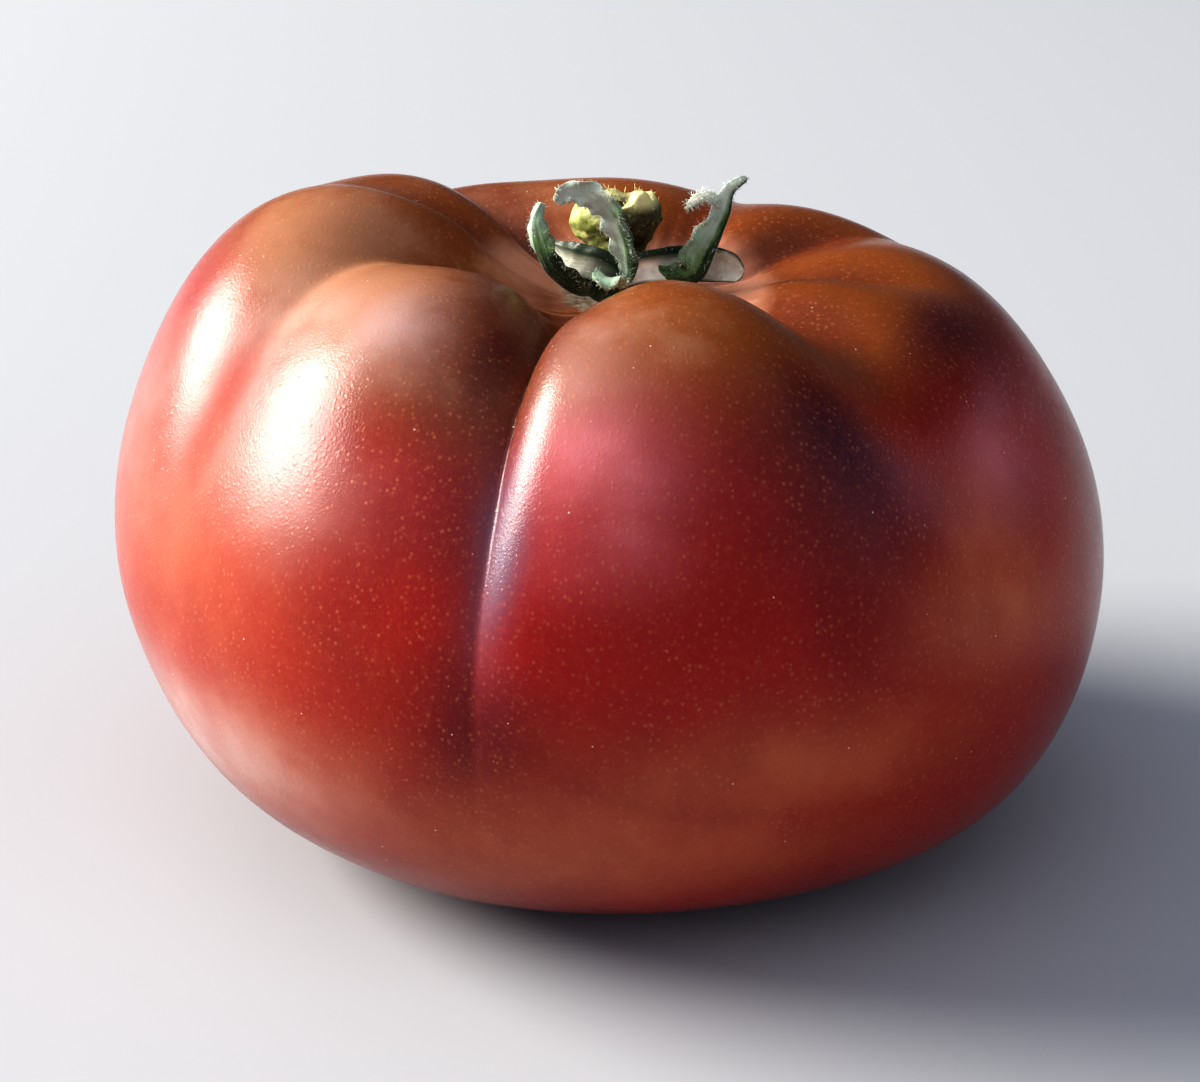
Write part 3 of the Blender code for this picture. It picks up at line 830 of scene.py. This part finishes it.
stubForm = {
    "axis": (0.35, 2.1),
    "bottom": 50.5,
    "top": 55.3,
    "footRadius": 2.4,
    "headRadius": 3.2,
    "sides": 120,
    "rings": 80,
    # azimuth, height, spread in degrees and in height, push outwards
    "knobs": [(-85, 53.4, 38, 1.5, 0.9), (75, 54.0, 42, 1.7, 0.8), (150, 52.8, 40, 1.4, 0.5)],
    # azimuth, spread in degrees, extra height
    "peaks": [(48, 20, 1.3), (100, 22, 0.5), (-70, 26, 0.3), (-150, 24, 0.2)],
    "footShare": 0.16,         # shares of the way up where the foot ends and the torn end starts
    "sideEnd": 0.72,
    "hollow": 0.9,             # depth of the torn end's middle
    "knobbly": [(0.32, 1.4, 2), (0.14, 0.6, 5)],  # height, size and seed of the small bumps
    "fibres": 60,
    "fibreLength": (0.3, 0.8),
    "fibreRadius": (0.04, 0.07),
}


def stubPoint(azimuth, share):
    form = stubForm
    footShare, sideEnd = form["footShare"], form["sideEnd"]
    peak = sum(extra * math.exp(-((turnBetween(azimuth, at) / wide) ** 2))
               for at, wide, extra in form["peaks"])
    rim = form["top"] + peak
    grown = form["headRadius"] - form["footRadius"]
    if share < footShare:
        radius = form["footRadius"] * share / footShare
        height = form["bottom"]
    elif share < sideEnd:
        climb = (share - footShare) / (sideEnd - footShare)
        flare = easeBetween(0.05, 0.75, climb) - 0.35 * easeBetween(0.75, 1.0, climb)
        radius = form["footRadius"] + grown * flare
        height = form["bottom"] + (rim - form["bottom"]) * climb
    else:
        inward = (share - sideEnd) / (1 - sideEnd)
        radius = (form["footRadius"] + 0.65 * grown) * (1 - inward)
        middle = form["top"] - form["hollow"]
        height = rim + (middle - rim) * easeBetween(0.15, 1.0, inward)
    for at, level, wide, tall, push in form["knobs"]:
        near = math.exp(-((turnBetween(azimuth, at) / wide) ** 2))
        radius += push * near * math.exp(-(((height - level) / tall) ** 2)) * min(radius, 1.0)
    turn = math.radians(azimuth)
    return Vector((form["axis"][0] + radius * math.sin(turn),
                   form["axis"][1] - radius * math.cos(turn), height)) * mm


def makeStub(material, hairs):
    bm = newBall(stubForm["sides"], stubForm["rings"])
    marks = {"sunlitLeftness": [], "level": []}
    relief = []
    for vert in bm.verts:
        azimuth = math.degrees(math.atan2(vert.co.x, -vert.co.y))
        share = 1 - math.acos(min(max(vert.co.z, -1.0), 1.0)) / math.pi
        place = stubPoint(azimuth, share)
        vert.co = place
        knobbly = sum(high * bumpAt(place, size, seed) for high, size, seed in stubForm["knobbly"])
        relief.append(knobbly * mm * easeBetween(0.14, 0.22, share))
        # painted light and shade: the stub is paler on its left, where the key light falls, and darker
        # on its right
        marks["sunlitLeftness"].append(0.5 - (place.x / mm - stubForm["axis"][0]) / 7)
        marks["level"].append((place.z / mm - stubForm["bottom"])
                              / (stubForm["top"] - stubForm["bottom"]))
    raiseBy(bm, relief)
    bmesh.ops.recalc_face_normals(bm, faces=bm.faces)
    torn = [(face.calc_center_median(), (face.normal + Vector((0, 0, 0.8))).normalized())
            for face in bm.faces
            if min(marks["level"][vert.index] for vert in face.verts) > 0.85]
    growHairs(torn, stubForm["fibres"], stubForm["fibreLength"], stubForm["fibreRadius"], hairs)
    return finishPiece("stalkStub", bm, material, "stalk", "pedicel", marks=marks)


stubLook = {
    "yellow": (0.58, 0.58, 0.23),
    "green": (0.21, 0.25, 0.045),
    # olive darkened as painted shade on the stub's right side
    "shadedOlive": (0.060, 0.058, 0.012),
    "brown": (0.032, 0.017, 0.007),
    "torn": (0.66, 0.62, 0.30),
    "roughness": (0.5, 0.8),
    "grainHeight": 0.12,
    "grainStrength": 0.6,
    "glow": 0.1,
    "glowScale": 0.5,
}


def stubMaterial():
    look = stubLook
    material, tree, shader = newMaterial("knobblyStalk")
    coords = objectCoords(tree)
    sunlitLeftness = readMark(tree, "sunlitLeftness")
    level = readMark(tree, "level")
    mottle = grain(tree, coords, 1.1, 5, 0.65)
    fine = grain(tree, coords, 0.3, 4, 0.65)
    # the stub's own green, yellow, olive and brown, laid out as painted light on its left and painted
    # shade on its right
    shadedSideTone = mixColour(tree, spread(tree, mottle, 0.35, 0.62), look["brown"], look["shadedOlive"])
    shadedSideTone = mixColour(tree, spread(tree, fine, 0.52, 0.72), shadedSideTone, look["green"])
    sunlitSideTone = mixColour(tree, spread(tree, mottle, 0.34, 0.6), look["green"], look["yellow"])
    share = spread(tree, calc(tree, "ADD", sunlitLeftness, spread(tree, mottle, 0.3, 0.7, -0.2, 0.2)),
                   0.45, 0.75)
    base = mixColour(tree, share, shadedSideTone, sunlitSideTone)
    base = mixColour(tree, spread(tree, level, 0.88, 1.1), base, look["torn"])
    tree.links.new(base, shader.inputs["Base Color"])
    tree.links.new(spread(tree, fine, 0.3, 0.7, *look["roughness"]), shader.inputs["Roughness"])
    bump = addNode(tree, "Bump", Height=fine, Strength=look["grainStrength"],
                   Distance=look["grainHeight"] * mm)
    tree.links.new(bump.outputs["Normal"], shader.inputs["Normal"])
    shader.inputs["Subsurface Weight"].default_value = look["glow"]
    shader.inputs["Subsurface Scale"].default_value = look["glowScale"] * mm
    return material


# floor, light and camera

studio = {
    "floor": (0.410, 0.425, 0.445),
    "floorSize": 6.0,          # in metres
    "floorRoughness": 0.8,
    "aim": (0, 0, 28),
    # azimuth, elevation, distance, width and height in mm, power in watts, colour
    "lights": {
        "sunny key": (-102.3, 27.4, 2400, 1560, 1240, 123, (1.0, 0.945, 0.870)),
        "top fill": (-20, 62, 900, 1000, 1000, 1.0, (1.0, 0.93, 0.95)),
        "right fill": (60, 25, 900, 900, 500, 0.2, (1.0, 0.90, 0.90)),
        "cool back": (116, 13, 600, 260, 150, 0.08, (0.80, 0.74, 1.0)),
    },
    "sky": (0.78, 0.85, 1.0),
    "skyStrength": 0.47,
    "darkSky": 0.10,
    "darkSide": (0.30, 0.85),
    "eye": (-1.05, -209.35, 113.7),
    "eyeDown": 23.0,
    "focal": 77.04,
    "sensor": 36,
}


def buildStudio():
    bpy.ops.mesh.primitive_plane_add(size=studio["floorSize"])
    floor = bpy.context.object
    floor.name = "paleFloor"
    material, tree, shader = newMaterial("paleFloor")
    shader.inputs["Base Color"].default_value = (*studio["floor"], 1.0)
    shader.inputs["Roughness"].default_value = studio["floorRoughness"]
    floor.data.materials.append(material)
    aim = Vector(studio["aim"]) * mm
    for name, (azimuth, elevation, distance, wide, tall, power, colour) in studio["lights"].items():
        lamp = bpy.data.lights.new(name, "AREA")
        lamp.shape = "ELLIPSE"
        lamp.size = wide * mm
        lamp.size_y = tall * mm
        lamp.energy = power
        lamp.color = colour
        holder = bpy.data.objects.new(name, lamp)
        bpy.context.scene.collection.objects.link(holder)
        turn, rise = math.radians(azimuth), math.radians(elevation)
        way = Vector((math.sin(turn) * math.cos(rise), -math.cos(turn) * math.cos(rise),
                      math.sin(rise)))
        holder.location = aim + way * distance * mm
        holder.rotation_euler = way.to_track_quat("Z", "Y").to_euler()
    world = bpy.data.worlds.new("pale sky")
    world.use_nodes = True
    # the far right side of the sky is darker, so that it doesn't grey the shoulders there
    tree = world.node_tree
    direction = addNode(tree, "TexCoord").outputs["Generated"]
    sides = addNode(tree, "SeparateXYZ", Vector=direction).outputs
    farRight = calc(tree, "ADD", sides[1], calc(tree, "MULTIPLY", sides[0], 0.5))
    level = spread(tree, farRight, *studio["darkSide"], studio["skyStrength"], studio["darkSky"])
    tree.nodes["Background"].inputs["Color"].default_value = (*studio["sky"], 1.0)
    tree.links.new(level, tree.nodes["Background"].inputs["Strength"])
    bpy.context.scene.world = world
    bpy.context.scene.view_settings.view_transform = "Standard"
    bpy.context.scene.view_settings.look = "High Contrast"


def placeCamera():
    camera = bpy.data.cameras.new("camera")
    camera.lens = studio["focal"]
    camera.sensor_width = studio["sensor"]
    camera.clip_start = 0.01
    holder = bpy.data.objects.new("camera", camera)
    bpy.context.scene.collection.objects.link(holder)
    holder.location = Vector(studio["eye"]) * mm
    holder.rotation_euler = (math.radians(90 - studio["eyeDown"]), 0, 0)
    bpy.context.scene.camera = holder


placeCamera()
buildStudio()
print("camera, floor and lights are set")

hubPlace = Vector((*calyxForm["hub"], calyxForm["hubBottom"])) * mm
fruit = makeFruit(skinMaterial(), hubPlace)
print("fruit:", len(fruit.data.polygons), "faces")

downy = sepalMaterial()
makeHub(downy)
hairs = bmesh.new()
for sepalName, sepalForm in calyxForm["sepals"].items():
    sepal = makeSepal(sepalName, sepalForm, downy, hairs)
    print(sepal.name, len(sepal.data.polygons), "faces")
hairPiece = finishPiece("calyxHairs", hairs, hairMaterial(), "sepal", "calyx")
print("hairs:", len(hairPiece.data.polygons), "faces")

fibres = bmesh.new()
stubSkin = stubMaterial()
stub = makeStub(stubSkin, fibres)
level = [1.1] * len(fibres.verts)
finishPiece("stubFibres", fibres, stubSkin, "stalk", "pedicel",
            marks={"sunlitLeftness": level, "level": level})
print("stub of the stalk:", len(stub.data.polygons), "faces")
